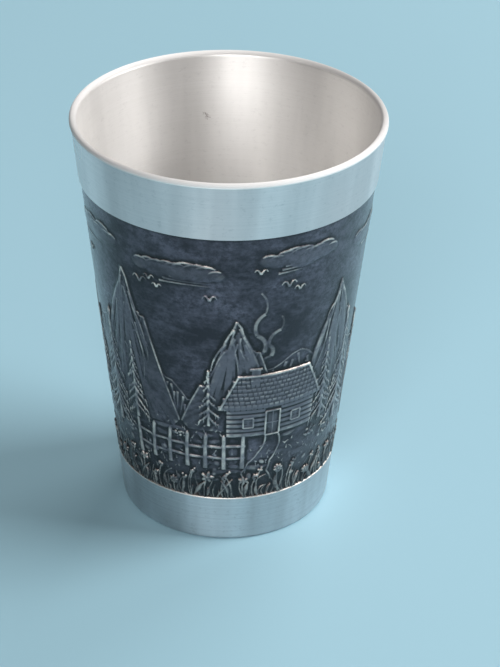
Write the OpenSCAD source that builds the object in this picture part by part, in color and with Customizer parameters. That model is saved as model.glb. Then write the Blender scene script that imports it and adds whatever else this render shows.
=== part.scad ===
// A tapered pewter beaker. A spun inner wall with a rounded lip carries a turned rim band, a cast
// relief sleeve that is rolled round it and closed by a soldered seam, and a turned foot band.
// A turned base plate is soldered in above the foot. Millimetres, +Z up, the origin on the axis at
// the face that stands on the table, and the front of the picture field faces -Y.

/* [Overall] */
// Height from the table to the top of the lip
cup_h = 104; // [92:1:125]
// Outside diameter over the lip bead
rim_d = 75; // [68:1:86]
// Outside diameter of the foot, before its lower edge is rounded
foot_d = 52; // [47:1:58]

/* [Wall] */
// Thickness of the inner wall
liner_t = 0.5; // [0.4:0.1:0.9]
// Thickness of the rim band and of the foot band
band_t = 0.85; // [0.8:0.05:1.5]
// Film of solder between two curved faces
solder_gap = 0.05; // [0.03:0.01:0.1]

/* [Lip] */
// How far the bead stands out past the rim band
lip_proud = 0.2; // [0.1:0.05:0.5]
// Upright side of the bead, below its full round
lip_skirt = 0.4; // [0.3:0.05:0.8]
// Rounding of the bead's lower edge
lip_edge_r = 0.25; // [0.1:0.05:0.3]

/* [Bands] */
// Height of the plain rim zone, from the top of the lip to the picture field
rim_zone_h = 14.9; // [10:0.1:20]
// Height of the plain foot band
foot_zone_h = 13.3; // [9:0.1:18]
// Rounding of the edges that face the picture field
band_edge_r = 0.2; // [0.1:0.05:0.3]
// Rounding of the foot's lower outer edge
foot_edge_r = 1.0; // [0.5:0.1:1.4]
// Wall of the foot at the table
foot_wall = 2.4; // [1.9:0.1:3.2]

/* [Base] */
// How far the base plate lies above the table
base_lift = 3.0; // [2:0.1:5]
// Thickness of the base plate
base_t = 1.8; // [1.2:0.1:2.5]
// Depth of the dish turned into the underside
dish_h = 0.4; // [0.1:0.1:0.8]
// Flat rim left round the dish
dish_rim_w = 5.5; // [4:0.5:9]
// Leg of the solder fillet under the base plate
fillet_leg = 0.8; // [0.4:0.1:1.4]

/* [Relief] */
// How far the ground of the relief lies below the bands
relief_drop = 0.42; // [0.2:0.02:0.5]
// Height of the mountains above that ground
mountain_rise = 0.18; // [0.16:0.01:0.24]
// Height of the meadow
meadow_rise = 0.1; // [0.05:0.01:0.15]
// Height of the trees, the fence's rails and the hut's walls
near_rise = 0.32; // [0.25:0.01:0.4]
// Height of the fence's posts, the roof and the flowers, which stand out most
front_rise = 0.44; // [0.42:0.01:0.5]

/* [Seam] */
// Width of the soldered seam at the back
seam_w = 0.8; // [0.5:0.1:1.5]
// How far the scraped solder stands above the ground of the relief
seam_rise = 0.08; // [0.04:0.01:0.12]

/* [Hidden] */

$fn = 128;
edge_steps = 6;
lip_steps = 18;

foot_r = foot_d / 2;
rim_r = rim_d / 2;
wall_t = band_t + solder_gap + liner_t;
lip_w = lip_proud + wall_t;
lip_r = lip_w / 2;
lip_low = cup_h - lip_r - lip_skirt;
field_low = foot_zone_h;
field_top = cup_h - rim_zone_h;
field_h = field_top - field_low;
bore_r = foot_r - foot_wall;

bright = [0.78, 0.79, 0.8];
inside = [0.8, 0.77, 0.73];
patina = [0.3, 0.33, 0.38];
solder = [0.66, 0.67, 0.68];

// Places and sizes in the picture field, as shares of its height. An angle counts from the front,
// in degrees, and grows to the right.

// Each mountain's angle and height, and the angle that its foot takes up to each side
mountain_place_shares = [
    [4, 0.4, 25], [54, 0.46, 24], [104, 0.4, 25], [155, 0.42, 24], [-47, 0.52, 25],
    [-97, 0.44, 24], [-148, 0.38, 25]
];
// One mountain's outline, as shares of its width and height
mountain_outline_shares = [
    [-0.5, 0], [-0.31, 0.38], [-0.26, 0.37], [-0.1, 0.76], [0, 1], [0.12, 0.72], [0.2, 0.7],
    [0.5, 0]
];
meadow_share = 0.3;
// Each fir's angle, foot and height
fir_place_shares = [
    [-76, 0.25, 0.33], [-61, 0.2, 0.44], [-46, 0.26, 0.3], [-8, 0.3, 0.22], [50, 0.25, 0.32],
    [64, 0.2, 0.44], [79, 0.26, 0.3], [118, 0.22, 0.36], [150, 0.2, 0.42], [-156, 0.24, 0.32],
    [-112, 0.21, 0.4], [-98, 0.27, 0.26]
];
fir_tiers = 3;
fir_width_share = 0.32;
fir_trunk_share = 0.12;
fir_trunk_w_share = 0.2;
fir_notch_share = 0.55;
fir_tier_share = 0.8;
// Hut: its angle in degrees, and its foot, width, walls, roof and door
hut_angle = 22;
hut_foot_share = 0.25;
hut_w_share = 0.28;
hut_wall_share = 0.11;
hut_roof_share = 0.13;
hut_eave_share = 0.03;
door_w_share = 0.05;
door_h_share = 0.08;
// Fence: the angles that its runs go from and to, its posts and its rails
fence_runs = [[-46, 8], [86, 131]];
fence_step = 9;
fence_foot_share = 0.13;
post_w_share = 0.02;
post_h_share = 0.12;
rail_w_share = 0.016;
rail_height_shares = [0.035, 0.08];
// Flowers: a ring of heads at uneven heights
flower_count = 20;
flower_petals = 6;
flower_r_share = 0.026;
flower_height_shares = [0.07, 0.1, 0.05, 0.085];

// Radius of the outer cone at a height
function cone_r(z) = foot_r + z * (rim_r - lip_proud - foot_r) / cup_h;
// Radius of the relief's ground, and of the inner wall's two faces
function ground_r(z) = cone_r(z) - relief_drop;
function liner_out_r(z) = cone_r(z) - band_t - solder_gap;
function liner_in_r(z) = cone_r(z) - wall_t;
// How far the cone leans out, in degrees
lean = atan((cone_r(cup_h) - cone_r(0)) / cup_h);
// Points along an arc
function arc(c, r, a0, a1, steps = edge_steps) = [for (i = [0:steps])
    let (a = a0 + (a1 - a0) * i / steps) [c[0] + r * cos(a), c[1] + r * sin(a)]];
// Centre of a rounding of radius r that touches the outer cone at a height
function edge_centre(z, r) = [cone_r(z) - r / cos(lean), z];

module spun(colour, outline) {
    color(colour) rotate_extrude() polygon(outline);
}

// Spun inner wall: it holds the drink, and its top is upset into a full round bead
module inner_wall() {
    spun(inside, concat(
        [[liner_in_r(base_lift), base_lift], [liner_out_r(base_lift), base_lift],
            [liner_out_r(lip_low), lip_low]],
        arc([rim_r - lip_edge_r, lip_low + lip_edge_r], lip_edge_r, -90, 0),
        arc([rim_r - lip_r, cup_h - lip_r], lip_r, 0, 180, lip_steps),
        [[liner_in_r(lip_low), lip_low]]));
}

// Rim band: a turned ring that slides up the cone until it meets the bead
module rim_band() {
    spun(bright, concat(
        [[cone_r(field_top) - band_t, field_top]],
        arc(edge_centre(field_top + band_edge_r, band_edge_r), band_edge_r, -90, -lean),
        [[cone_r(lip_low), lip_low], [cone_r(lip_low) - band_t, lip_low]]));
}

// Foot band: a turned ring with an inner shoulder that carries the inner wall and the base plate
module foot_band() {
    spun(bright, concat(
        [[bore_r, 0]],
        arc(edge_centre(foot_edge_r, foot_edge_r), foot_edge_r, -90, -lean),
        arc(edge_centre(field_low - band_edge_r, band_edge_r), band_edge_r, -lean, 90),
        [[cone_r(field_low) - band_t, field_low], [cone_r(base_lift) - band_t, base_lift],
            [bore_r, base_lift]]));
}

// Base plate: a turned disc that wedges in the narrow end of the inner wall, dished underneath
module base_plate() {
    dish_r = bore_r - dish_rim_w;
    plate_top = base_lift + base_t;
    spun(bright, [
        [0, base_lift + dish_h], [dish_r, base_lift + dish_h], [dish_r + dish_h, base_lift],
        [liner_in_r(base_lift) - solder_gap, base_lift],
        [liner_in_r(plate_top) - solder_gap, plate_top], [0, plate_top]
    ]);
}

// Solder run round the corner between the base plate and the foot
module base_solder() {
    spun(solder, concat(
        arc([bore_r - solder_gap - fillet_leg, base_lift - fillet_leg], fillet_leg, 90, 0),
        [[bore_r - solder_gap, base_lift]]));
}

// Section of the sleeve, from its back to a height above the relief's ground
module field_ring(back, rise, low, top) {
    rotate_extrude() polygon([
        [ground_r(low) - back, low], [ground_r(low) + rise, low],
        [ground_r(top) + rise, top], [ground_r(top) - back, top]
    ]);
}

// The slot at the back where the two ends of the rolled strip meet
module seam_slot() {
    translate([-seam_w / 2, 0, 0]) cube([seam_w, rim_r, cup_h]);
}

// What a flat outline, x across and y up, cuts out of a ring that lies on the relief's ground
module raised(angle, rise) {
    intersection() {
        field_ring(rise / 2, rise, field_low, field_top);
        rotate([0, 0, angle]) rotate([90, 0, 0])
            translate([0, 0, foot_r / 2]) linear_extrude(rim_r) children();
    }
}

module mountain(place) {
    h = place[1] * field_h;
    foot = field_low + meadow_share * field_h;
    w = 2 * ground_r(foot) * sin(place[2]);
    raised(place[0], mountain_rise)
        polygon([for (p = mountain_outline_shares) [p[0] * w, foot + p[1] * h]]);
}

module fir(place) {
    h = place[2] * field_h;
    foot = field_low + place[1] * field_h;
    crown_low = foot + fir_trunk_share * h;
    tier_h = (h - fir_trunk_share * h) / fir_tiers;
    half = fir_width_share * h / 2;
    trunk = fir_trunk_w_share * half;
    right = [for (i = [0:fir_tiers - 1], top = [0, 1]) let (reach = half * (1 - i / fir_tiers))
        [reach * (top == 0 ? 1 : fir_notch_share), crown_low + (i + top * fir_tier_share) * tier_h]];
    left = [for (i = [len(right) - 1:-1:0]) [-right[i][0], right[i][1]]];
    raised(place[0], near_rise) polygon(concat(
        [[trunk, foot], [trunk, crown_low]], right, [[0, foot + h]], left,
        [[-trunk, crown_low], [-trunk, foot]]));
}

module hut_walls() {
    w = hut_w_share * field_h;
    foot = field_low + hut_foot_share * field_h;
    door_w = door_w_share * field_h;
    raised(hut_angle, near_rise) difference() {
        translate([-w / 2, foot]) square([w, (hut_wall_share + hut_roof_share / 2) * field_h]);
        translate([-door_w / 2, foot]) square([door_w, door_h_share * field_h]);
    }
}

module hut_roof() {
    half = (hut_w_share / 2 + hut_eave_share) * field_h;
    ridge = (hut_w_share / 2 - hut_eave_share) * field_h;
    low = field_low + (hut_foot_share + hut_wall_share) * field_h;
    top = low + hut_roof_share * field_h;
    raised(hut_angle, front_rise) polygon([[-half, low], [half, low], [ridge, top], [-ridge, top]]);
}

// One post and, but for the last one, the rails from it to the next
module fence_bay(angle, last) {
    foot = field_low + fence_foot_share * field_h;
    post_w = post_w_share * field_h;
    bay_w = 2 * ground_r(foot) * tan(fence_step / 2) - post_w / 2;
    raised(angle, front_rise)
        translate([-post_w / 2, foot]) square([post_w, post_h_share * field_h]);
    if (!last) for (share = rail_height_shares)
        raised(angle + fence_step / 2, near_rise)
            translate([-bay_w / 2, foot + share * field_h])
                square([bay_w, rail_w_share * field_h]);
}

module flower(i) {
    height_share = flower_height_shares[i % len(flower_height_shares)];
    raised((i + 0.5) * 360 / flower_count, front_rise)
        translate([0, field_low + height_share * field_h])
            circle(flower_r_share * field_h, $fn = flower_petals);
}

// Relief sleeve: a cast strip with its picture, rolled round the inner wall
module relief_sleeve() {
    color(patina) difference() {
        union() {
            field_ring(band_t - relief_drop, 0, field_low, field_top);
            field_ring(meadow_rise / 2, meadow_rise, field_low, field_low + meadow_share * field_h);
            for (place = mountain_place_shares) mountain(place);
            for (place = fir_place_shares) fir(place);
            hut_walls();
            hut_roof();
            for (run = fence_runs, angle = [run[0]:fence_step:run[1]])
                fence_bay(angle, angle + fence_step > run[1]);
            for (i = [0:flower_count - 1]) flower(i);
        }
        seam_slot();
    }
}

// Solder that closes the sleeve at the back, scraped almost level with the ground
module sleeve_seam() {
    color(solder) intersection() {
        field_ring(band_t - relief_drop, seam_rise, field_low, field_top);
        seam_slot();
    }
}

inner_wall();
rim_band();
relief_sleeve();
sleeve_seam();
foot_band();
base_plate();
base_solder();
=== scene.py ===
import random
from math import cos, pi, radians, sin, tau

import bpy
import numpy as np
from mathutils import Matrix, Vector


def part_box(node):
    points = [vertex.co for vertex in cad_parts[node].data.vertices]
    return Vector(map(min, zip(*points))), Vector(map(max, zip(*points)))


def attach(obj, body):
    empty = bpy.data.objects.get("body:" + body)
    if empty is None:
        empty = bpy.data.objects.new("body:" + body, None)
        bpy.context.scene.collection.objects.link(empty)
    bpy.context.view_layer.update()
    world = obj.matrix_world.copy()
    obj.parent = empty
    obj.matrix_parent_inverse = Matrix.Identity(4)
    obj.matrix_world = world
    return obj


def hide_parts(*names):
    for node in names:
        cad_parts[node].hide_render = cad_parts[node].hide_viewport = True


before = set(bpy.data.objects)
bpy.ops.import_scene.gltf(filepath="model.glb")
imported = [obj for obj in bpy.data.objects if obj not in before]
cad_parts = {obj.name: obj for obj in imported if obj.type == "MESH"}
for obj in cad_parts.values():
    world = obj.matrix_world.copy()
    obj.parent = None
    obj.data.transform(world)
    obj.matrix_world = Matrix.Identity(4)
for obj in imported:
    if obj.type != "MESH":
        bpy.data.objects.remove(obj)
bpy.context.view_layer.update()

scene = bpy.context.scene
scene.view_settings.view_transform = 'Standard'
bpy.ops.object.select_all(action='DESELECT')

# Camera: it looks down on the cup from the front, at the photograph's angle. Its distance, lens,
# tilt and small sideways turns come from readings of the lip, the two bands and the foot.
cup_height = round(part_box("inner_wall")[1][2], 6)
camera_distance = 0.52471
camera_elevation = 0.436849
camera_aim_right, camera_aim_up = 0.0104485, -0.0989127
camera_roll = 0.0161401
camera_lens_mm, camera_sensor_mm = 120.26, 36
nearest_seen = 0.01

forward = Vector((0, cos(camera_elevation), -sin(camera_elevation)))
across = Vector((1, 0, 0))
aim = (forward + camera_aim_right * across + camera_aim_up * across.cross(forward)).normalized()
level_right = aim.cross(Vector((0, 0, 1))).normalized()
level_up = level_right.cross(aim)
right = cos(camera_roll) * level_right + sin(camera_roll) * level_up
up = cos(camera_roll) * level_up - sin(camera_roll) * level_right
bpy.ops.object.camera_add()
camera = bpy.context.object
camera.name = "camera"
camera.data.lens = camera_lens_mm
camera.data.sensor_width = camera_sensor_mm
camera.data.clip_start = nearest_seen
camera.matrix_world = Matrix.Translation(
    Vector((0, 0, cup_height)) - camera_distance * forward) @ Matrix(
    (right, up, -aim)).transposed().to_4x4()
scene.camera = camera
bpy.ops.object.select_all(action='DESELECT')

# Floor and light: a plain pale blue table top. A wide lamp high on the right throws the shadow to
# the left, softer ones stand behind on the right and low in front, and an even sky fills in.
floor_size, floor_roughness = 6, 0.8
floor_colour = (0.34, 0.56, 0.66, 1)
sky_colour, sky_strength = (0.97, 0.985, 1, 1), 0.11
lamp_size, lamp_distance = 1.2, 2.2
lamp_colour = (1, 0.99, 0.98)

bpy.ops.mesh.primitive_plane_add(size=floor_size)
floor = bpy.context.object
floor.name = "floor"
floor_paint = bpy.data.materials.new("floor_paint")
floor_paint.use_nodes = True
paint = floor_paint.node_tree.nodes["Principled BSDF"]
paint.inputs["Base Color"].default_value = floor_colour
paint.inputs["Roughness"].default_value = floor_roughness
floor.data.materials.append(floor_paint)

sky = bpy.data.worlds.new("sky")
sky.use_nodes = True
sky_light = sky.node_tree.nodes["Background"]
sky_light.inputs["Color"].default_value = sky_colour
sky_light.inputs["Strength"].default_value = sky_strength
scene.world = sky


def soft_lamp(name, turn, rise, watts):
    """A square lamp that looks at the cup. turn counts from the front to the right, in degrees."""
    place = lamp_distance * Vector((sin(radians(turn)) * cos(radians(rise)),
                                    -cos(radians(turn)) * cos(radians(rise)), sin(radians(rise))))
    bpy.ops.object.light_add(type='AREA', location=place)
    lamp = bpy.context.object
    lamp.name = name
    lamp.data.size = lamp_size
    lamp.data.energy = watts
    lamp.data.color = lamp_colour
    lamp.rotation_euler = place.to_track_quat('Z', 'Y').to_euler()


soft_lamp("window_lamp", turn=92, rise=43, watts=44)
soft_lamp("back_lamp", turn=148, rise=38, watts=15)
soft_lamp("front_lamp", turn=-8, rise=25, watts=27)

# Inner wall: a cone spun from pewter sheet that holds the drink, with its top upset into a round
# lip. It is bare metal, warm and silvery, with the fine rings of the spinner's tool.
wall_bright = (0.985, 0.97, 0.955, 1)
wall_dull = (0.94, 0.925, 0.905, 1)
# Grey of the stain specks, and of the upright streaks painted in as reflections
stain_and_painted_streak = (0.3, 0.29, 0.3, 1)
quarter_turn = 0.25


def node_at(tree, kind, **settings):
    """A new shader node of a kind, with the settings that it is given."""
    made = tree.nodes.new(kind)
    for setting, value in settings.items():
        setattr(made, setting, value)
    return made


def bare_metal(name):
    """A new metal: the material, its nodes, its shader, and the object's own coordinates."""
    material = bpy.data.materials.new(name)
    material.use_nodes = True
    tree = material.node_tree
    metal = tree.nodes["Principled BSDF"]
    metal.inputs["Metallic"].default_value = 1
    return material, tree, metal, node_at(tree, "ShaderNodeTexCoord").outputs["Object"]


def noise_on(tree, place, stretch, scale, detail, roughness):
    """A noise pattern on the object's own coordinates, stretched along x, y and z."""
    mapping = node_at(tree, "ShaderNodeMapping")
    mapping.inputs["Scale"].default_value = stretch
    tree.links.new(place, mapping.inputs["Vector"])
    noise = node_at(tree, "ShaderNodeTexNoise")
    noise.inputs["Scale"].default_value = scale
    noise.inputs["Detail"].default_value = detail
    noise.inputs["Roughness"].default_value = roughness
    tree.links.new(mapping.outputs["Vector"], noise.inputs["Vector"])
    return noise.outputs["Fac"]


def ranged(tree, value, seen, given):
    """A value taken from the range in which it is seen to the one given, and held within it."""
    span = node_at(tree, "ShaderNodeMapRange")
    tree.links.new(value, span.inputs["Value"])
    for socket, number in zip(("From Min", "From Max", "To Min", "To Max"), seen + given):
        span.inputs[socket].default_value = number
    return span.outputs["Result"]


def blended(tree, amount, low, high):
    """A colour between two others. Each is a colour or another node's output."""
    mix = node_at(tree, "ShaderNodeMix", data_type='RGBA')
    tree.links.new(amount, mix.inputs["Factor"])
    for socket, colour in zip((mix.inputs[6], mix.inputs[7]), (low, high)):
        if isinstance(colour, tuple):
            socket.default_value = colour
        else:
            tree.links.new(colour, socket)
    return mix.outputs[2]


def dented(tree, height, depth, after=None):
    """A surface normal that follows a height. The depth is in metres."""
    bump = node_at(tree, "ShaderNodeBump")
    bump.inputs["Strength"].default_value = 1
    bump.inputs["Distance"].default_value = depth
    tree.links.new(height, bump.inputs["Height"])
    if after:
        tree.links.new(after, bump.inputs["Normal"])
    return bump.outputs["Normal"]


def turned_pewter(name, bright, dull, smooth, rough, ring_depth, sheen, stain, painted_streak_depth):
    """Bare pewter off the lathe: fine rings round the axis, faint clouds, and upright streaks
    painted darker as reflections.
    """
    material, tree, metal, place = bare_metal(name)
    metal.inputs["Anisotropic"].default_value = sheen
    metal.inputs["Anisotropic Rotation"].default_value = quarter_turn
    rings = noise_on(tree, place, (8, 8, 2600), scale=1, detail=3, roughness=0.7)
    wide_rings = noise_on(tree, place, (5, 5, 420), scale=1, detail=2, roughness=0.5)
    clouds = noise_on(tree, place, (1, 1, 0.7), scale=45, detail=2, roughness=0.5)
    specks = noise_on(tree, place, (1, 1, 1.6), scale=700, detail=5, roughness=0.7)
    painted_streaks = noise_on(tree, place, (95, 95, 2), scale=1, detail=3, roughness=0.5)
    tint = blended(tree, ranged(tree, rings, (0.3, 0.7), (0, 1)), dull, bright)
    tint = blended(tree, ranged(tree, clouds, (0.25, 0.75), (0.6, 1)), dull, tint)
    # Painted reflection: upright streaks painted darker, standing in for the streaks that turned
    # metal reflects
    tint = blended(tree, ranged(tree, painted_streaks, (0.38, 0.62), (0, painted_streak_depth)), tint, stain_and_painted_streak)
    tint = blended(tree, ranged(tree, specks, (0.56, 0.7), (0, stain)), tint, stain_and_painted_streak)
    tree.links.new(tint, metal.inputs["Base Color"])
    tree.links.new(ranged(tree, clouds, (0.3, 0.7), (rough, smooth)), metal.inputs["Roughness"])
    normal = dented(tree, rings, ring_depth)
    normal = dented(tree, wide_rings, ring_depth, normal)
    tree.links.new(normal, metal.inputs["Normal"])
    tangent = node_at(tree, "ShaderNodeTangent", direction_type='RADIAL', axis='Z')
    tree.links.new(tangent.outputs["Tangent"], metal.inputs["Tangent"])
    return material


spun_pewter = turned_pewter("spun_pewter", wall_bright, wall_dull, smooth=0.5, rough=0.56,
                            ring_depth=0.000007, sheen=0.55, stain=0.1, painted_streak_depth=0.14)
worn_fade = 0.0001


def worn_above(material, low, colour, roughness):
    """Gives the metal above a height another colour and roughness, as on a rubbed edge."""
    tree = material.node_tree
    metal = tree.nodes["Principled BSDF"]
    place = node_at(tree, "ShaderNodeSeparateXYZ")
    tree.links.new(node_at(tree, "ShaderNodeTexCoord").outputs["Object"], place.inputs["Vector"])
    amount = ranged(tree, place.outputs["Z"], (low, low + worn_fade), (0, 1))
    below = metal.inputs["Base Color"].links[0].from_socket
    tree.links.new(blended(tree, amount, below, colour), metal.inputs["Base Color"])
    finish = node_at(tree, "ShaderNodeMix", data_type='FLOAT')
    tree.links.new(amount, finish.inputs[0])
    tree.links.new(metal.inputs["Roughness"].links[0].from_socket, finish.inputs[2])
    finish.inputs[3].default_value = roughness
    tree.links.new(finish.outputs[0], metal.inputs["Roughness"])


lip_depth, lip_colour, lip_roughness = 0.00088, (0.9, 0.887, 0.88, 1), 0.95
worn_above(spun_pewter, cup_height - lip_depth, lip_colour, lip_roughness)

# A small nick in the wall, on the side away from the camera
nick_place, nick_half_sizes, nick_turn = (-0.00565, 0.0336, 0.0875), (0.0013, 0.01, 0.0006), 0.94
nick_colour, nick_raggedness = (0.42, 0.38, 0.36, 1), 1.9
tree = spun_pewter.node_tree
metal = tree.nodes["Principled BSDF"]
nick_space = node_at(tree, "ShaderNodeMapping", vector_type='TEXTURE')
nick_space.inputs["Location"].default_value = nick_place
nick_space.inputs["Rotation"].default_value = (0, nick_turn, 0)
nick_space.inputs["Scale"].default_value = nick_half_sizes
ragged = node_at(tree, "ShaderNodeTexNoise")
ragged.inputs["Scale"].default_value = nick_raggedness
place = node_at(tree, "ShaderNodeTexCoord").outputs["Object"]
tree.links.new(place, nick_space.inputs["Vector"])
tree.links.new(nick_space.outputs["Vector"], ragged.inputs["Vector"])
nick_reach = node_at(tree, "ShaderNodeVectorMath", operation='LENGTH')
tree.links.new(nick_space.outputs["Vector"], nick_reach.inputs[0])
torn = node_at(tree, "ShaderNodeMath", operation='ADD')
tree.links.new(nick_reach.outputs["Value"], torn.inputs[0])
tree.links.new(ranged(tree, ragged.outputs["Fac"], (0.3, 0.7), (-0.5, 1.1)), torn.inputs[1])
tree.links.new(blended(tree, ranged(tree, torn.outputs["Value"], (0.25, 1.25), (0.85, 0)),
                       metal.inputs["Base Color"].links[0].from_socket, nick_colour),
               metal.inputs["Base Color"])


def dressed(node, material):
    """Gives a CAD piece its material."""
    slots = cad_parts[node].data.materials
    slots.clear()
    slots.append(material)


dressed("inner_wall", spun_pewter)

# Rim band: a plain pewter ring, turned bright, slid up the cone until it meets the lip. Its lower
# edge stands proud of the picture.
band_bright = (0.97, 0.89, 0.88, 1)
band_dull = (0.86, 0.79, 0.785, 1)
turned_band = turned_pewter("turned_band", band_bright, band_dull, smooth=0.27, rough=0.37,
                            ring_depth=0.000007, sheen=0.6, stain=0.22, painted_streak_depth=0.3)
dressed("rim_band", turned_band)

# Relief sleeve: a strip cast in pewter with a raised picture, patinated dark and rubbed bright on
# its high places. The pattern is laid out flat, a sheet is pressed on it, and the sheet is rolled
# round the cone and closed, much as a founder does. Lengths on the flat pattern are millimetres.
millimetre = 0.001
foot_radius, relief_depth, back_depth = 26.0, 0.42, 0.43
sleeve_low, sleeve_high = (corner.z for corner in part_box("relief_sleeve"))
seam_left, seam_right = (corner.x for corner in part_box("sleeve_seam"))
rim_reach, _, rim_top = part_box("rim_band")[1]
field_low = round(sleeve_low / millimetre, 3)
field_height = round((sleeve_high - sleeve_low) / millimetre, 3)
slot_width = round((seam_right - seam_left) / millimetre, 3)
cone_rise = round((rim_reach - foot_radius * millimetre) / rim_top, 6)


def ground_radius(height):
    """Radius of the picture's ground at a height above the foot of the picture."""
    return foot_radius + cone_rise * (field_low + height) - relief_depth


middle_radius = ground_radius(field_height / 2)
pattern_width = tau * middle_radius - slot_width
millimetres_per_degree = middle_radius * pi / 180
pattern_seed = 7
draw = random.Random(pattern_seed)
pattern = []


def x_at(angle):
    """Place across the flat pattern of an angle in degrees, counted from the front."""
    return angle * millimetres_per_degree


def in_row(index, count, reach, stray):
    """Place of one of a count spread from -reach to reach, each a little out of step."""
    return -reach + 2 * reach * (index + draw.uniform(-stray, stray)) / (count - 1)


def swept(start, end, bow=0.0, widths=(0.3, 0.3), levels=(0, 0), steps=6):
    """Points of a raised line from start to end that bows aside and changes in width."""
    (x0, y0), (x1, y1) = start, end
    points = []
    for step in range(steps + 1):
        t = step / steps
        aside = bow * 4 * t * (1 - t)
        points.append((x0 + (x1 - x0) * t - (y1 - y0) * aside,
                       y0 + (y1 - y0) * t + (x1 - x0) * aside,
                       levels[0] + (levels[1] - levels[0]) * t,
                       widths[0] + (widths[1] - widths[0]) * t))
    return points


def edging(points, half_width, level, steps=6):
    """Straight raised lines of one width and level from each point to the next."""
    return [swept(first, second, 0, (half_width, half_width), (level, level), steps)
            for first, second in zip(points, points[1:])]


def raised_lines(name, lines, proud):
    """Round raised lines on the pattern. proud is how high a line stands for its half width."""
    bpy.ops.curve.primitive_bezier_curve_add()
    made = bpy.context.object
    made.name = name
    made.data.splines.clear()
    for line in lines:
        spline = made.data.splines.new('POLY')
        spline.points.add(len(line) - 1)
        for point, (x, y, level, half_width) in zip(spline.points, line):
            point.co = (x, y, level / proud, 1)
            point.radius = half_width
    made.data.dimensions = '3D'
    made.data.bevel_depth = 1
    made.data.bevel_resolution = 1
    made.data.use_fill_caps = True
    bpy.ops.object.convert(target='MESH')
    made.scale = (1, 1, proud)
    bpy.ops.object.transform_apply(location=True, rotation=True, scale=True)
    made.select_set(False)
    pattern.append(made)


bpy.ops.mesh.primitive_uv_sphere_add(segments=16, ring_count=8, radius=1)
ball = bpy.context.object
ball.name = "ball"
ball.select_set(False)


def placed_copy(model, place):
    """A copy of a model with its own mesh, put on the pattern."""
    made = model.copy()
    made.data = model.data.copy()
    made.data.transform(place)
    scene.collection.objects.link(made)
    pattern.append(made)


def mound(x, y, half_width, half_height, rise, turn=0.0, level=0.0):
    """A low rounded hump on the pattern."""
    placed_copy(ball, Matrix.Translation((x, y, level)) @ Matrix.Rotation(turn, 4, 'Z')
                @ Matrix.Diagonal((half_width, half_height, rise, 1)))


def slab(name, corners, level):
    """A flat raised shape on the pattern, from the corners of its outline."""
    bpy.ops.mesh.primitive_circle_add(vertices=len(corners), fill_type='NGON')
    made = bpy.context.object
    made.name = name
    for vertex, (x, y) in zip(made.data.vertices, corners):
        vertex.co = (x, y, 0)
    bpy.ops.object.mode_set(mode='EDIT')
    bpy.ops.mesh.select_all(action='SELECT')
    bpy.ops.mesh.extrude_region_move(TRANSFORM_OT_translate={"value": (0, 0, level)})
    bpy.ops.object.mode_set(mode='OBJECT')
    made.select_set(False)
    pattern.append(made)


def block(name, centre, half_width, low, high, level):
    """A flat raised rectangle on the pattern."""
    left, right = centre - half_width, centre + half_width
    slab(name, [(left, low), (right, low), (right, high), (left, high)], level)


# Ground of the pattern and its meadow, with low hills that roll up to the mountains
ground_half_width, ground_overlap, ground_level = 110, 3, 0.001
meadow_top = 0.3 * field_height
hill_count = 44
block("ground", 0, ground_half_width, -ground_overlap, field_height + ground_overlap, ground_level)
for hill in range(hill_count):
    mound(x_at(in_row(hill, hill_count, reach=176, stray=0.3)),
          meadow_top * draw.uniform(0.35, 0.95), draw.uniform(7, 13), draw.uniform(2.5, 5),
          draw.uniform(0.1, 0.17), draw.uniform(-0.15, 0.15))

# Far range: a low broken line of hills behind the mountains, right round the cup
far_end, far_foot, far_top, far_level = 100, 10, 38, 0.05
far_line = [(-far_end, far_top)]
while far_line[-1][0] < far_end:
    x = far_line[-1][0] + draw.uniform(1.2, 3.4)
    far_line.append((x, 37 + 5 * sin(x / 7.5) + 3 * sin(x / 2.9 + 1) + draw.uniform(-0.8, 0.8)))
far_edge = edging(far_line, half_width=0.26, level=0.04, steps=1)
slab("far_range", [(far_line[0][0], far_foot), (far_line[-1][0], far_foot)] + far_line[::-1],
     far_level)
for (x0, y0), (x1, y1) in zip(far_line, far_line[1:]):
    for _ in range(2):
        t = draw.random()
        top = (x0 + (x1 - x0) * t, y0 + (y1 - y0) * t - draw.uniform(0.3, 3))
        far_edge.append(swept(top, (top[0] + draw.uniform(-2, 2), top[1] - draw.uniform(2, 6)),
                              draw.uniform(-0.1, 0.1), (0.5, 0.15), (0.03, 0.03), steps=3))
raised_lines("far_edge", far_edge, proud=0.38)

# Mountains: each is a fan of rock faces from its summit, with thin spurs that run down it and a
# rubbed line along its broken edge. A place is an angle, a share of the height and a half width
# in degrees.
mountain_places = [
    (4, 0.4, 25), (54, 0.46, 24), (104, 0.4, 25), (155, 0.42, 24), (-47, 0.52, 25),
    (-97, 0.44, 24), (-148, 0.38, 25)
]
mountain_outline = [
    (-0.5, 0), (-0.31, 0.38), (-0.26, 0.37), (-0.1, 0.76), (0, 1), (0.12, 0.72), (0.2, 0.7),
    (0.5, 0)
]
rock_level, facet_rise, root_depth = 0.13, 0.07, 2
edge_breaks, edge_jog = 4, 0.35
root_count, buttress_count, spur_count = 15, 12, 15
summit_index = mountain_outline.index((0, 1)) * edge_breaks


def on_face(peak, aside, down):
    """A point of a mountain, aside from its middle and down from its summit as shares of it."""
    centre, width, height = peak
    return centre + aside * width * down, meadow_top + height * (1 - down)


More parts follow.
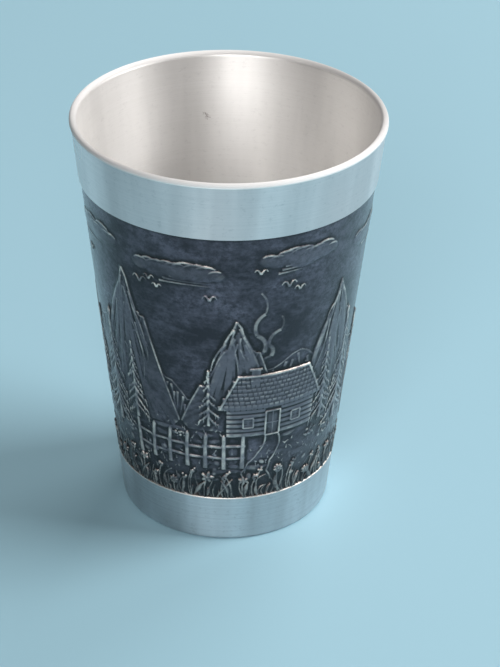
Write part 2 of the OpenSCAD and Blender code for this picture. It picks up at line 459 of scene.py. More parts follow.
buttresses, spurs, skyline = [], [], []
for angle, share, half_angle in mountain_places:
    height = share * field_height
    width = 2 * half_angle * millimetres_per_degree
    centre = x_at(angle)
    peak = (centre, width, height)
    corners = [(centre + x * width, meadow_top + y * height) for x, y in mountain_outline]
    broken = []
    for (x0, y0), (x1, y1) in zip(corners, corners[1:]):
        for part in range(edge_breaks):
            t = part / edge_breaks
            jog = draw.uniform(-edge_jog, edge_jog) if part else 0
            broken.append((x0 + (x1 - x0) * t + jog, y0 + (y1 - y0) * t + jog))
    broken.append(corners[-1])
    summit = broken[summit_index]
    roots = [(centre + width * (0.5 - (i + 1) / (root_count + 1)), meadow_top - root_depth)
             for i in range(root_count)]
    edge = broken[summit_index + 1:] + roots + broken[:summit_index]
    bpy.ops.mesh.primitive_circle_add(vertices=len(edge) + 1, fill_type='NGON')
    rock = bpy.context.object
    rock.name = "mountain"
    for vertex, (x, y) in zip(rock.data.vertices, [summit] + edge):
        vertex.co = (x, y, rock_level)
    bpy.ops.object.mode_set(mode='EDIT')
    bpy.ops.mesh.select_all(action='SELECT')
    bpy.ops.mesh.poke()
    bpy.ops.mesh.subdivide(number_cuts=1)
    bpy.ops.object.mode_set(mode='OBJECT')
    for vertex in rock.data.vertices:
        x, y, _ = vertex.co
        down = (summit[1] - y) / height
        fan = (x - summit[0]) / (width * max(down, 0.08))
        on_edge = vertex.index <= len(edge)
        facet = sin(fan * 26 + 2.2 * sin(down * 5 + angle)) * facet_rise
        vertex.co.z = rock_level + (0 if on_edge else facet)
    bpy.ops.object.mode_set(mode='EDIT')
    bpy.ops.mesh.select_all(action='SELECT')
    bpy.ops.mesh.subdivide(number_cuts=3, smoothness=0, fractal=0.03,
                           fractal_along_normal=1, seed=draw.randrange(100))
    bpy.ops.object.mode_set(mode='OBJECT')
    rock.select_set(False)
    pattern.append(rock)
    skyline += edging(broken, half_width=0.27, level=rock_level, steps=1)
    for buttress in range(buttress_count):
        lean = in_row(buttress, buttress_count, reach=0.38, stray=0.3)
        start = draw.uniform(0.04, 0.3)
        finish = draw.uniform(0.65, 0.95)
        line = swept(on_face(peak, lean, start), on_face(peak, lean, finish),
                     draw.uniform(-0.06, 0.06), (1, 1), (rock_level, rock_level - 0.1), steps=8)
        full = draw.uniform(0.45, 1.05)
        buttresses.append([(x, y, level, full * (0.2 + sin(pi * (0.08 + 0.9 * i / 8))))
                           for i, (x, y, level, _) in enumerate(line)])
    for spur in range(spur_count):
        lean = in_row(spur, spur_count, reach=0.42, stray=0.4)
        start = draw.uniform(0.02, 0.4)
        finish = min(start + draw.uniform(0.25, 0.5), 0.97)
        spurs.append(swept(on_face(peak, lean, start), on_face(peak, lean, finish),
                           draw.uniform(-0.1, 0.1), (0.3, 0.1),
                           (rock_level + 0.12, rock_level + 0.06)))
        if spur % 2:
            side = draw.choice((-1, 1))
            x, y = on_face(peak, lean, (start + finish) / 2)
            spurs.append(swept((x, y), (x + side * 2.2, y - 4), side * 0.1, (0.3, 0.1),
                               (rock_level + 0.08, rock_level + 0.03)))
raised_lines("buttresses", buttresses, proud=0.24)
raised_lines("spurs", spurs, proud=0.36)
raised_lines("skyline", skyline, proud=0.42)

# Firs: a trunk with whorls of drooping branches that get shorter towards the tip. A place is an
# angle, and the foot and the height as shares of the field.
fir_places = [
    (-76, 0.25, 0.33), (-61, 0.2, 0.44), (-46, 0.26, 0.3), (-8, 0.3, 0.22), (50, 0.25, 0.32),
    (64, 0.2, 0.44), (79, 0.26, 0.3), (124, 0.24, 0.34), (136, 0.2, 0.42), (-170, 0.24, 0.34),
    (-125, 0.21, 0.4), (-112, 0.26, 0.27)
]
whorl_spacing, fewest_whorls, sprigs_on_branch = 2.4, 7, 4
trunks, branches, twigs = [], [], []
for angle, foot_share, height_share in fir_places:
    foot, height = foot_share * field_height, height_share * field_height
    x = x_at(angle)
    reach = 0.16 * height * middle_radius / ground_radius(foot)
    trunks.append(swept((x, foot - 0.5), (x, foot + 0.98 * height), 0,
                        (0.14 * reach, 0.12), (0.26, 0.26)))
    whorls = max(fewest_whorls, round(height / whorl_spacing))
    for whorl in range(whorls):
        t = whorl / (whorls - 1)
        root = foot + height * (0.17 + 0.78 * t)
        length = reach * (1 - t) ** 0.85 + 0.3
        drop = (0.085 + 0.05 * (1 - t)) * height
        for side in (-1, 1):
            start = root + draw.uniform(-0.5, 0.5)
            tip = (x + side * length * draw.uniform(0.82, 1.12),
                   start - drop * draw.uniform(0.9, 1.4))
            branches.append(swept((x, start), tip, -side * draw.uniform(0.02, 0.14),
                                  (0.22 + 0.05 * reach, 0.1), (0.28, 0.2)))
            for sprig in range(sprigs_on_branch):
                s_t = 0.2 + 0.2 * sprig + draw.uniform(-0.06, 0.06)
                sx, sy = x + (tip[0] - x) * s_t, start + (tip[1] - start) * s_t
                branches.append(swept(
                    (sx, sy), (sx + side * draw.uniform(0.05, 0.22) * length,
                               sy - draw.uniform(0.5, 0.8) * drop),
                    side * draw.uniform(-0.1, 0.1), (0.24, 0.08), (0.28, 0.18), steps=3))
        twigs.append(swept((x, root + 0.2),
                           (x + draw.uniform(-0.3, 0.3) * length, root - 0.8 * drop),
                           0.05, (0.3, 0.16), (0.36, 0.3), steps=4))
raised_lines("trunks", trunks, proud=0.3)
raised_lines("branches", branches, proud=0.4)
raised_lines("twigs", twigs, proud=0.4)

# Hut: walls of round logs, a plank door, windows, and a roof laid with shingles. An opening is a
# place aside and up from the middle of the foot, a half width and a height.
hut_x = x_at(22)
hut_foot = 0.25 * field_height
hut_half = 0.14 * field_height * middle_radius / ground_radius(hut_foot)
wall_height, roof_height, eave = 0.11 * field_height, 0.13 * field_height, 0.03 * field_height
roof_low, roof_top = hut_foot + wall_height, hut_foot + wall_height + roof_height
roof_half, ridge_half = hut_half + eave, hut_half - eave
wall_level, roof_level, roof_overlap = 0.26, 0.36, 1
log_count, log_half, log_end, door_gap = 6, 0.7, 0.5, 2.1
openings = [(0, 0, 1.9, 0.86 * wall_height), (6.4, 2.8, 1.3, 2.8), (-6.4, 2.8, 1.3, 2.8)]
frame_half, bar_half = 0.27, 0.15
block("hut_walls", hut_x, hut_half, hut_foot, roof_low + roof_overlap, wall_level)
logs, frames = [], []
for log in range(log_count):
    y = hut_foot + (log + 0.5) * wall_height / log_count
    for start, end in ((-hut_half - log_end, -door_gap), (door_gap, hut_half + log_end)):
        logs += edging([(hut_x + start, y), (hut_x + end, y)], log_half, wall_level - 0.1)
for aside, sill, half, high in openings:
    x, low = hut_x + aside, hut_foot + sill
    corners = [(x - half, low), (x - half, low + high), (x + half, low + high), (x + half, low)]
    slab("pane", corners, wall_level + 0.02)
    frames += edging(corners + corners[:1], frame_half, wall_level + 0.04)
    frames += edging([(x, low), (x, low + high)], bar_half, wall_level)
    middle = low + high / 2
    frames += edging([(x - half, middle), (x + half, middle)], bar_half, wall_level)
raised_lines("logs", logs, proud=0.32)
raised_lines("door_and_windows", frames, proud=0.8)
slab("roof", [(hut_x - roof_half, roof_low), (hut_x + roof_half, roof_low),
              (hut_x + ridge_half, roof_top), (hut_x - ridge_half, roof_top)], roof_level)
shingle_rows, shingles_across, shingle_thick, shingle_bevel = 8, 19, 0.1, 0.08
row_height = roof_height / shingle_rows
bpy.ops.mesh.primitive_cube_add(size=1)
shingle_block = bpy.context.object
bpy.ops.object.mode_set(mode='EDIT')
bpy.ops.mesh.bevel(offset=shingle_bevel, segments=1)
bpy.ops.object.mode_set(mode='OBJECT')
for row in range(shingle_rows):
    half = roof_half - (roof_half - ridge_half) * (row + 0.5) / shingle_rows
    for i in range(shingles_across + 1):
        x = hut_x + half * (2 * (i + 0.5 * (row % 2)) / shingles_across - 1)
        if abs(x - hut_x) > half:
            continue
        turn = Matrix.Rotation(draw.uniform(0.07, 0.12), 4, 'X') @ Matrix.Rotation(
            draw.uniform(-0.05, 0.05), 4, 'Z')
        size = Matrix.Diagonal((half * 2 / shingles_across * 0.88,
                                row_height * draw.uniform(1.1, 1.35), shingle_thick, 1))
        placed_copy(shingle_block, Matrix.Translation(
            (x, roof_low + (row + 0.45) * row_height, roof_level)) @ turn @ size)
bpy.data.objects.remove(shingle_block)
ridge_end, ridge_board, gable_board = 0.3, 0.34, 0.32
boards = edging([(hut_x - ridge_half - ridge_end, roof_top),
                 (hut_x + ridge_half + ridge_end, roof_top)], ridge_board, roof_level)
for side in (-1, 1):
    boards += edging([(hut_x + side * roof_half, roof_low),
                      (hut_x + side * ridge_half, roof_top)], gable_board, roof_level)
raised_lines("boards", boards, proud=0.7)
chimney_x, chimney_half, cap_half, cap_low = hut_x - 5, 1.1, 1.5, roof_top + 1.6
block("chimney", chimney_x, chimney_half, roof_top - 2.5, cap_low + 0.2, level=0.42)
block("chimney_cap", chimney_x, cap_half, cap_low, roof_top + 2.3, level=0.5)
smoke_bends = ((0.28, 4, 0.5), (-0.3, 5, 0.75), (0.28, 6, 0.6), (-0.2, 6, 0.35))
smoke = []
for shift, reach in ((0, 1), (1.1, 0.66)):
    x, y = chimney_x + shift * 0.6, roof_top + 2.6
    for side, rise, thick in smoke_bends:
        x2, y2 = x + side * 6 + shift, y + rise * reach
        smoke.append(swept((x, y), (x2, y2), side * 0.7, (thick, thick * 0.9), (0.02, 0.02),
                           steps=8))
        x, y = x2, y2
raised_lines("smoke", smoke, proud=0.24)

# Fence: split rails on pointed posts, each post leaning and standing a little its own way
fence_foot = 0.13 * field_height
fence_runs, post_step = ((-46, 8), (86, 131)), 9
rail_shares = (0.035, 0.08)
post_level, rail_level, point_height, rail_end = 0.18, 0.16, 0.7, 0.7
posts, rails = [], []
for run_start, run_end in fence_runs:
    feet = []
    for angle in range(run_start, run_end + 1, post_step):
        x = x_at(angle)
        lean = draw.uniform(-0.5, 0.5)
        top = (x + 1.3 * lean, fence_foot + (0.12 + 0.02 * lean) * field_height)
        posts.append(swept((x, fence_foot - 0.8 + lean), top, 0.04 * lean,
                           (0.75 - 0.15 * lean, 0.55 + 0.1 * lean), (post_level, post_level)))
        posts.append(swept(top, (top[0], top[1] + point_height), 0, (0.6, 0.15),
                           (post_level, post_level), steps=2))
        feet.append(x)
    for first, second in zip(feet, feet[1:]):
        for share in rail_shares:
            y = fence_foot + share * field_height
            rails.append(swept((first - rail_end, y + draw.uniform(-0.35, 0.35)),
                               (second + rail_end, y + draw.uniform(-0.35, 0.35)),
                               draw.uniform(-0.015, 0.015), (0.52, 0.4),
                               (rail_level, rail_level)))
raised_lines("posts", posts, proud=0.42)
raised_lines("rails", rails, proud=0.42)

# Sky: soft heaped clouds with rubbed upper edges, and birds in flight. A place is an angle, a
# height above the foot of the picture, and a cloud's length or a wing's span.
cloud_places = [
    (-64, 68, 13), (-20, 66, 17), (30, 69, 15), (78, 66, 16), (108, 69, 14), (140, 66, 16),
    (-172, 66, 13), (-128, 68, 16), (-100, 65, 12)
]
bird_places = [
    (-37, 60.5, 1.9), (-32.5, 62, 1.4), (-29, 60.3, 1.2), (-7, 58.8, 1.6), (25, 61.5, 1.8),
    (30, 60, 1.4), (13, 66, 1.5), (92, 60, 1.7), (96, 61.6, 1.3), (128, 59, 1.5), (-72, 60, 1.5),
    (-122, 61, 1.6), (-118, 59.4, 1.2), (172, 61, 1.5)
]
puff_count, wisp_count, curl_points, curl_step = 9, 3, 6, 22
curls, birds = [], []
for angle, y, length in cloud_places:
    x = x_at(angle)
    for puff in range(puff_count):
        t = puff / (puff_count - 1)
        size = (1.1 + 1.9 * sin(pi * (0.15 + 0.7 * t))) * draw.uniform(0.8, 1.15)
        px, py = x + length * (t - 0.5), y + draw.uniform(-0.3, 0.6)
        mound(px, py, size * 1.25, size * 0.9, draw.uniform(0.13, 0.22))
        start = draw.uniform(25, 60)
        curls.append([(px + 1.1 * size * cos(radians(start + curl_step * k)),
                       py + 0.8 * size * sin(radians(start + curl_step * k)),
                       0.08, 0.2 + 0.16 * sin(pi * k / (curl_points - 1)))
                      for k in range(curl_points)])
    for wisp in range(wisp_count):
        wx = x + length * draw.uniform(-0.6, 0.1)
        curls.append(swept(
            (wx, y - 1.6 - wisp * 0.9),
            (wx + length * draw.uniform(0.4, 0.8), y - 1.5 - wisp * 0.9),
            draw.uniform(-0.02, 0.02), (0.42, 0.14)))
for angle, y, span in bird_places:
    x = x_at(angle)
    for side in (-1, 1):
        birds.append([(x + side * span * t, y + span * (1.15 * sin(pi * 0.75 * t) - 0.45 * t),
                       0.1, 0.1 + 0.2 * (1 - t)) for t in (0, 0.2, 0.4, 0.6, 0.8, 1)])
raised_lines("curls", curls, proud=0.5)
raised_lines("birds", birds, proud=0.7)

# Meadow: folds of the ground, strokes of grass, stones, bushes, and a path that winds to the
# door. A bush's place is an angle, a height above the foot of the picture and a size.
bush_places = [
    (-68, 17, 1.5), (-53, 15.5, 1.8), (-22, 19, 1.3), (44, 16, 1.6), (57, 14, 1.9), (72, 17, 1.5),
    (-90, 15, 1.8), (-135, 15, 1.7), (136, 16, 1.8), (165, 15, 1.6), (-170, 14, 1.7),
    (104, 18, 1.4)
]
path_bends = ((0.3, 2.6), (-1.2, 2.8), (-2.2, 2.9), (-1.2, 3), (1, 3))
path_half_width = 1.7
fold_count, stroke_count, stone_count, bush_mounds = 110, 900, 80, 14
folds, strokes, path = [], [], []
for _ in range(fold_count):
    x, y = x_at(draw.uniform(-176, 176)), draw.uniform(2, meadow_top - 2)
    length = draw.uniform(4, 12)
    line = swept((x, y), (x + length, y + length * draw.uniform(-0.22, 0.16)),
                 draw.uniform(-0.12, 0.12), (1, 1), (0.05, 0.05))
    folds.append([(px, py, level, 0.15 + draw.uniform(0.5, 0.8) * sin(pi * i / 6))
                  for i, (px, py, level, _) in enumerate(line)])
for _ in range(stroke_count):
    x = x_at(draw.uniform(-177, 177))
    y = draw.uniform(6, meadow_top * 1.02)
    if abs(x - hut_x) < hut_half + 1.5 and y > hut_foot - 3:
        continue
    tilt = draw.uniform(-0.6, 0.6)
    length = draw.uniform(0.8, 2.4) * (1.3 - 0.5 * y / meadow_top)
    strokes.append(swept((x, y), (x + tilt * length, y + length * draw.uniform(0.25, 1)),
                         draw.uniform(-0.2, 0.2), (0.2, 0.07), (0.15, 0.13), steps=3))
for side in (-1, 1):
    x, y = hut_x + side * path_half_width, hut_foot
    for sway, fall in path_bends:
        x2, y2 = x + sway + side * 0.45, y - fall
        path.append(swept((x, y), (x2, y2), 0.06, (0.28, 0.28), (0.12, 0.12), steps=3))
        x, y = x2, y2
raised_lines("folds", folds, proud=0.2)
raised_lines("strokes", strokes, proud=0.6)
raised_lines("path", path, proud=0.6)
for _ in range(stone_count):
    x = x_at(draw.uniform(-176, 176))
    size = draw.uniform(0.4, 1.3)
    mound(x, draw.uniform(5, 14), size, size * 0.7, draw.uniform(0.2, 0.36), draw.uniform(0, 3))
for angle, y, size in bush_places:
    x = x_at(angle)
    for _ in range(bush_mounds):
        a, r = draw.uniform(0, tau), size * draw.random() ** 0.5
        mound(x + 1.4 * r * cos(a), y + 0.8 * r * sin(a), draw.uniform(0.35, 0.65),
              draw.uniform(0.3, 0.5), draw.uniform(0.28, 0.4))

# Fringe: grass, broad leaves and flower heads along the foot of the picture, in the highest relief
blade_count, leaf_count, flower_count, buds_on_flower, seeds_on_bud = 150, 52, 20, 3, 5
flower_shares = (0.07, 0.1, 0.05, 0.085)
blades, leaves, stems = [], [], []
for blade in range(blade_count):
    x = x_at(in_row(blade, blade_count, reach=177, stray=0.45))
    length = 2 + 6.5 * draw.random() ** 1.6
    stout = draw.uniform(0.22, 0.62)
    blades.append(swept((x, -0.6), (x + draw.uniform(-0.6, 0.6) * length, length),
                        draw.uniform(-0.35, 0.35), (stout, 0.12),
                        (0.05, draw.uniform(0.08, 0.3)), steps=7))
for leaf in range(leaf_count):
    x = x_at(in_row(leaf, leaf_count, reach=174, stray=0.35))
    length = draw.uniform(2, 6)
    lean = draw.uniform(-0.8, 0.8)
    half = draw.uniform(0.35, 0.8)
    line = swept((x, 0), (x + lean * length, length), draw.uniform(-0.2, 0.2), (1, 1),
                 (0.2, 0.3), steps=8)
    leaves.append([(px, py, level, half * (0.08 + sin(pi * (i + 0.3) / 8.8) ** 1.4))
                   for i, (px, py, level, _) in enumerate(line)])
    stems.append([(px, py, level + 0.34 * half, 0.12) for px, py, level, _ in line])
for flower in range(flower_count):
    x = x_at((flower + 0.5) * 360 / flower_count - (360 if flower >= flower_count / 2 else 0))
    y = flower_shares[flower % len(flower_shares)] * field_height
    stems.append(swept((x + draw.uniform(-0.8, 0.8), -0.5), (x, y), 0.08, (0.3, 0.22),
                       (0.26, 0.28)))
    petal_count = draw.choice((5, 6, 8))
    turn = draw.uniform(0, 1)
    flat = draw.uniform(0.6, 0.95)
    size = draw.uniform(0.75, 1.05)
    for petal in range(petal_count):
        a = tau * (petal + turn) / petal_count
        mound(x + 1.1 * size * cos(a), y + 1.1 * size * flat * sin(a), 0.75 * size, 0.46 * size,
              0.22, turn=a, level=0.34)
    mound(x, y, 0.55 * size, 0.5 * size, 0.34, level=0.3)
    for _ in range(buds_on_flower):
        bx, by = x + draw.uniform(2, 6), draw.uniform(3, 8.5)
        stems.append(swept((bx - 0.4, 0), (bx, by), 0.1, (0.22, 0.16), (0.22, 0.28)))
        for _ in range(seeds_on_bud):
            mound(bx + draw.uniform(-0.55, 0.55), by + draw.uniform(-0.2, 1.1), 0.36, 0.36,
                  draw.uniform(0.2, 0.3), level=0.25)
raised_lines("blades", blades, proud=0.7)
raised_lines("leaves", leaves, proud=0.34)
raised_lines("stems", stems, proud=0.8)

# The pattern is one piece now
bpy.data.objects.remove(ball)
for part in pattern:
    part.select_set(True)
bpy.context.view_layer.objects.active = pattern[0]
bpy.ops.object.join()
pattern_block = bpy.context.object
bpy.ops.object.select_all(action='DESELECT')

# A sheet is pressed on the pattern from above and smoothed as a casting smooths it
sheet_lift = 5
columns, rows = ((1200, 466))
bpy.ops.mesh.primitive_grid_add(x_subdivisions=columns, y_subdivisions=rows, size=1,
                                location=(0, field_height / 2, sheet_lift))
sleeve = bpy.context.object
sleeve.name = "relief_sleeve_cast"
sleeve.scale = (pattern_width, field_height, 1)
bpy.ops.object.transform_apply(location=True, rotation=True, scale=True)
press = sleeve.modifiers.new("press", 'SHRINKWRAP')
press.wrap_method = 'PROJECT'
press.use_project_z = True
press.use_positive_direction = False
press.use_negative_direction = True
press.target = pattern_block
bpy.ops.object.modifier_apply(modifier="press")
soften = sleeve.modifiers.new("soften", 'SMOOTH')
soften.use_x = soften.use_y = False
soften.factor = 0.5
soften.iterations = 2
bpy.ops.object.modifier_apply(modifier="soften")
for name, size, strength in (("sagging", 7, 0.07), ("casting_skin", 1.3, 0.03)):
    skin = bpy.data.textures.new(name, 'CLOUDS')
    skin.noise_scale = size
    uneven = sleeve.modifiers.new(name, 'DISPLACE')
    uneven.texture = skin
    uneven.texture_coords = 'LOCAL'
    uneven.direction = 'Z'
    uneven.strength = strength
    bpy.ops.object.modifier_apply(modifier=name)
bpy.data.objects.remove(pattern_block)

# What is high on the sheet gets rubbed bright, and beside its steps the patina stays black
near_reach, near_rubbed, near_sunk = 0.35, 0.1, 0.07
far_reach, far_rubbed, far_sunk = 1.2, 0.45, 0.25
fully_raised = 0.4
points = np.empty(len(sleeve.data.vertices) * 3)
sleeve.data.vertices.foreach_get("co", points)
points = points.reshape(-1, 3)
relief = points[:, 2].reshape(rows + 1, columns + 1)
cell = field_height / rows


def evened(picture, reach):
    """The mean of the picture over a square of reach to each side, taken twice."""
    cells = round(reach / cell)
    for axis in (0, 1, 0, 1):
        wide = np.concatenate([np.repeat(picture.take([0], axis), cells + 1, axis), picture,
                               np.repeat(picture.take([-1], axis), cells, axis)], axis)
        total = np.cumsum(wide, axis)
        length = picture.shape[axis]
        picture = (total.take(range(2 * cells + 1, 2 * cells + 1 + length), axis)
                   - total.take(range(0, length), axis)) / (2 * cells + 1)
    return picture


near, far = evened(relief, near_reach), evened(relief, far_reach)
rubbed = (np.clip((relief - near) / near_rubbed, 0, 0.8)
          + np.clip((relief - far) / far_rubbed, 0, 0.6))
sunk = np.clip((near - relief) / near_sunk, 0, 1) + np.clip((far - relief) / far_sunk, 0, 1)
raised = np.clip(relief / fully_raised, 0, 1)


# The sheet is rolled round the cone, and the slot for the seam stays open at the back
def half_turn_at(height):
    """Angle from the front to the edge of the slot, at a height above the foot of the picture."""
    return pi - np.arcsin(slot_width / 2 / ground_radius(height))


angles = points[:, 0] / (pattern_width / 2) * half_turn_at(points[:, 1])
radii = ground_radius(points[:, 1]) + points[:, 2]
rolled = np.stack([radii * np.sin(angles), -radii * np.cos(angles), field_low + points[:, 1]], 1)
sleeve.data.vertices.foreach_set("co", (rolled * millimetre).ravel())
sleeve.data.update()

# Its edges are kept whole while the plain places are thinned out
kept_share = 0.165
on_border = np.zeros((rows + 1, columns + 1), bool)
on_border[[0, -1], :] = True
on_border[:, [0, -1]] = True
inside = sleeve.vertex_groups.new(name="inside")
inside.add(np.flatnonzero(~on_border.ravel()).tolist(), 1, 'REPLACE')
thin = sleeve.modifiers.new("thin", 'DECIMATE')
thin.ratio = kept_share
thin.vertex_group = "inside"
bpy.ops.object.modifier_apply(modifier="thin")
sleeve.vertex_groups.clear()


def read_points(mesh):
    """The mesh's points, in millimetres."""
    values = np.empty(len(mesh.vertices) * 3)
    mesh.vertices.foreach_get("co", values)
    return values.reshape(-1, 3) / millimetre


def select_only(mesh, kind, chosen):
    """Selects only some vertices or edges of the active mesh, for the edit operator after it."""
    bpy.ops.object.mode_set(mode='EDIT')
    bpy.ops.mesh.select_mode(type=kind)
    bpy.ops.mesh.select_all(action='DESELECT')
    bpy.ops.object.mode_set(mode='OBJECT')
    (mesh.vertices if kind == 'VERT' else mesh.edges).foreach_set("select", chosen)
    bpy.ops.object.mode_set(mode='EDIT')
    bpy.ops.mesh.select_mode(type=kind)


# The edge is drawn in to the back, and the back is closed from the lower edge to the upper one
edge_slack, sharp_angle = 0.01, radians(75)
bpy.ops.object.mode_set(mode='EDIT')
bpy.ops.mesh.select_mode(type='EDGE')
bpy.ops.mesh.select_all(action='DESELECT')
bpy.ops.mesh.select_non_manifold()
bpy.ops.mesh.extrude_region_move()
bpy.ops.object.mode_set(mode='OBJECT')
drawn_in = np.empty(len(sleeve.data.vertices), bool)
sleeve.data.vertices.foreach_get("select", drawn_in)
points = read_points(sleeve.data)
back_radius = ground_radius(points[:, 2] - field_low) - back_depth
shrink = np.where(drawn_in, back_radius / np.hypot(points[:, 0], points[:, 1]), 1)
points[:, :2] *= shrink[:, None]
sleeve.data.vertices.foreach_set("co", (points * millimetre).ravel())
between = np.abs(points[:, 2] - field_low - field_height / 2) < field_height / 2 - edge_slack
select_only(sleeve.data, 'VERT', drawn_in & between)
bpy.ops.mesh.dissolve_verts()
bpy.ops.mesh.select_mode(type='EDGE')
bpy.ops.mesh.select_all(action='DESELECT')
bpy.ops.mesh.select_non_manifold()
bpy.ops.object.mode_set(mode='OBJECT')
open_edges = np.empty(len(sleeve.data.edges), bool)
sleeve.data.edges.foreach_get("select", open_edges)
ends = np.empty(len(sleeve.data.edges) * 2, int)
sleeve.data.edges.foreach_get("vertices", ends)
levels = read_points(sleeve.data)[ends, 2].reshape(-1, 2)
select_only(sleeve.data, 'EDGE', open_edges & (np.abs(levels[:, 0] - levels[:, 1]) < edge_slack))
bpy.ops.mesh.bridge_edge_loops()
bpy.ops.mesh.select_all(action='SELECT')
bpy.ops.mesh.normals_make_consistent(inside=False)
bpy.ops.object.mode_set(mode='OBJECT')
bpy.ops.object.shade_smooth_by_angle(angle=sharp_angle)

# What is rubbed, sunk and raised is written on the sleeve's points, for its finish
points = read_points(sleeve.data)
turn = np.arctan2(points[:, 0], -points[:, 1])
height = np.clip(points[:, 2] - field_low, 0, field_height)
column = np.clip((turn / half_turn_at(height) + 1) / 2 * columns, 0, columns - 0.001)
row = np.clip(height / field_height * rows, 0, rows - 0.001)
column_low, row_low = column.astype(int), row.astype(int)
column_part, row_part = column - column_low, row - row_low
for name, picture in (("rubbed", rubbed), ("sunk", sunk), ("raised", raised)):
    lower, upper = (picture[row_at, column_low] * (1 - column_part)
                    + picture[row_at, column_low + 1] * column_part
                    for row_at in (row_low, row_low + 1))
    value = lower * (1 - row_part) + upper * row_part
    written = sleeve.data.attributes.new(name, 'FLOAT', 'POINT')
    written.data.foreach_set("value", value.astype(np.float32))

# Its finish: dark patina, waxed, cloudy and faintly blue, over pewter that shows where it is
# rubbed. Low down among the plants and just below the rim band it is painted darker and less
# rubbed: painted shade.
# The deepest black is the patina kept in hollows, and also the colour of painted shade
deep_patina_and_painted_shade = (0.008, 0.007, 0.01, 1)
patina_dark = (0.024, 0.0205, 0.03, 1)
patina_light = (0.18, 0.158, 0.205, 1)
patina_worn = (0.235, 0.213, 0.243, 1)
rubbed_metal = (0.92, 0.8, 0.72, 1)
wax_weight, wax_roughness = 0.85, 0.22
# Heights where shade is painted: low among the plants, and just below the rim band
undergrowth_shade = (sleeve_low + 0.0012, sleeve_low + 0.0127)
under_band_shade = (sleeve_high - 0.0009, sleeve_high - 0.0002)
patina, tree, metal, place = bare_metal("patina")
metal.inputs["Coat Weight"].default_value = wax_weight
metal.inputs["Coat Roughness"].default_value = wax_roughness
clouds = noise_on(tree, place, (1, 1, 1), scale=60, detail=7, roughness=0.68)
fine_clouds = noise_on(tree, place, (1, 1, 1.2), scale=680, detail=6, roughness=0.74)
grain = noise_on(tree, place, (1, 1, 1), scale=3200, detail=3, roughness=0.6)
wiped = noise_on(tree, place, (170, 170, 420), scale=1, detail=5, roughness=0.65)
handled = noise_on(tree, place, (1, 1, 1), scale=330, detail=4, roughness=0.6)
is_raised, is_sunk, is_rubbed = (
    node_at(tree, "ShaderNodeAttribute", attribute_name=name).outputs["Fac"]
    for name in ("raised", "sunk", "rubbed"))
axes = node_at(tree, "ShaderNodeSeparateXYZ")
tree.links.new(place, axes.inputs["Vector"])
coat = blended(tree, ranged(tree, clouds, (0.4, 0.62), (0, 1)), patina_dark, patina_light)
coat = blended(tree, ranged(tree, fine_clouds, (0.4, 0.62), (0, 0.85)), coat, patina_dark)
coat = blended(tree, ranged(tree, wiped, (0.5, 0.75), (0, 0.5)), coat, patina_light)
coat = blended(tree, ranged(tree, is_raised, (0.15, 1), (0, 0.7)), coat, patina_worn)
# Painted shade: darker low down among the plants
coat = blended(tree, ranged(tree, axes.outputs["Z"], undergrowth_shade, (0.92, 0)), coat, deep_patina_and_painted_shade)
# Painted shade under the rim band's step, together with the patina kept in its corner
coat = blended(tree, ranged(tree, axes.outputs["Z"], under_band_shade, (0, 0.7)), coat, deep_patina_and_painted_shade)
coat = blended(tree, ranged(tree, is_sunk, (0.05, 0.8), (0, 1)), coat, deep_patina_and_painted_shade)
worn = ranged(tree, is_rubbed, (0.2, 1.1), (0, 1))
# Rubbing is made patchy, and low down among the plants it is held back as painted shade
for less in (ranged(tree, handled, (0.4, 0.62), (0.15, 1)),
             ranged(tree, axes.outputs["Z"], undergrowth_shade, (0.4, 1))):
    product = node_at(tree, "ShaderNodeMath", operation='MULTIPLY')
    tree.links.new(worn, product.inputs[0])
    tree.links.new(less, product.inputs[1])
    worn = product.outputs["Value"]
tree.links.new(blended(tree, worn, coat, rubbed_metal), metal.inputs["Base Color"])
tree.links.new(ranged(tree, grain, (0.3, 0.7), (0.38, 0.52)), metal.inputs["Roughness"])
normal = dented(tree, grain, 0.00004)
normal = dented(tree, fine_clouds, 0.00012, normal)
tree.links.new(normal, metal.inputs["Normal"])
sleeve.data.materials.append(patina)
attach(sleeve, "root")
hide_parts("relief_sleeve")
sleeve.select_set(False)

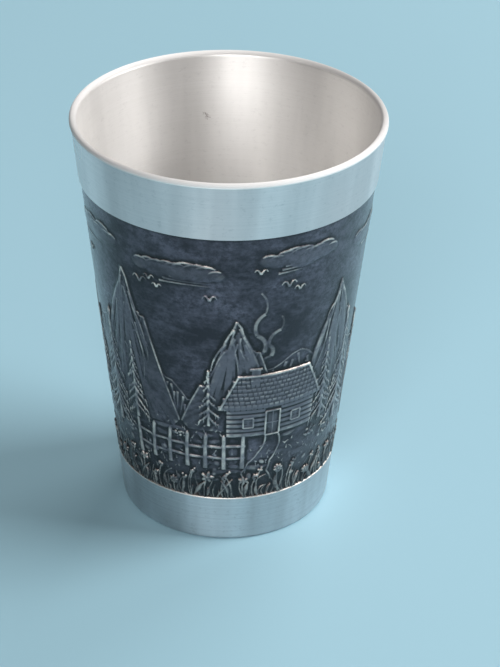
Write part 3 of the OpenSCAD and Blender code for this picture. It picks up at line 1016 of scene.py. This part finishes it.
# Sleeve seam: a run of solder along the back, where the two ends of the rolled strip meet. It is
# dull grey pewter solder, scraped almost level with the ground of the picture.
solder_grey = (0.5, 0.51, 0.53, 1)
solder_dark = (0.16, 0.17, 0.19, 1)
scraped_solder, tree, metal, place = bare_metal("scraped_solder")
scrapes = noise_on(tree, place, (2500, 2500, 120), scale=1, detail=3, roughness=0.6)
spots = noise_on(tree, place, (1, 1, 1), scale=300, detail=5, roughness=0.65)
tree.links.new(blended(tree, ranged(tree, spots, (0.4, 0.62), (0, 1)), solder_dark, solder_grey),
               metal.inputs["Base Color"])
tree.links.new(ranged(tree, scrapes, (0.3, 0.7), (0.32, 0.55)), metal.inputs["Roughness"])
tree.links.new(dented(tree, scrapes, 0.00003), metal.inputs["Normal"])
dressed("sleeve_seam", scraped_solder)

# Foot band: a turned pewter ring with a shoulder inside, slid on from below, on which the cup
# stands. Its upper edge stands proud of the picture and is painted bright: rubbed wear, and a
# painted highlight.
foot_bright = (0.74, 0.76, 0.78, 1)
foot_dull = (0.58, 0.59, 0.62, 1)
# Painted highlight: the bright ledge colour stands in for light caught on the edge, as well as for
# rubbing
ledge_depth, ledge_highlight_colour, ledge_roughness = 0.00038, (0.97, 0.89, 0.84, 1), 0.5
turned_foot = turned_pewter("turned_foot", foot_bright, foot_dull, smooth=0.29, rough=0.4,
                            ring_depth=0.000012, sheen=0.5, stain=0.42, painted_streak_depth=0.45)
worn_above(turned_foot, sleeve_low - ledge_depth, ledge_highlight_colour, ledge_roughness)
dressed("foot_band", turned_foot)

# Base plate: a pewter disc wedged in the narrow end of the inner wall, where it closes the cup. It
# is turned on both faces, which leaves fine rings, and dished underneath.
plate_bright = (0.93, 0.915, 0.895, 1)
plate_dull = (0.82, 0.805, 0.785, 1)
ring_scale, ring_waver, ring_detail = 620, 1.5, 3
turned_plate, tree, metal, place = bare_metal("turned_plate")
flat_place = node_at(tree, "ShaderNodeMapping")
flat_place.inputs["Scale"].default_value = (1, 1, 0)
tree.links.new(place, flat_place.inputs["Vector"])
rings = node_at(tree, "ShaderNodeTexWave", wave_type='RINGS', rings_direction='SPHERICAL')
rings.inputs["Scale"].default_value = ring_scale
rings.inputs["Distortion"].default_value = ring_waver
rings.inputs["Detail"].default_value = ring_detail
tree.links.new(flat_place.outputs["Vector"], rings.inputs["Vector"])
spots = noise_on(tree, place, (1, 1, 1), scale=260, detail=6, roughness=0.6)
tint = blended(tree, ranged(tree, spots, (0.3, 0.7), (0, 1)), plate_dull, plate_bright)
tree.links.new(tint, metal.inputs["Base Color"])
tree.links.new(ranged(tree, spots, (0.3, 0.7), (0.5, 0.42)), metal.inputs["Roughness"])
tree.links.new(dented(tree, rings.outputs["Fac"], 0.00002), metal.inputs["Normal"])
dressed("base_plate", turned_plate)

# Base solder: a fillet of pewter solder, run round the corner between the base plate and the foot
# band, which fixes both. It is scraped as the seam is.
dressed("base_solder", scraped_solder)
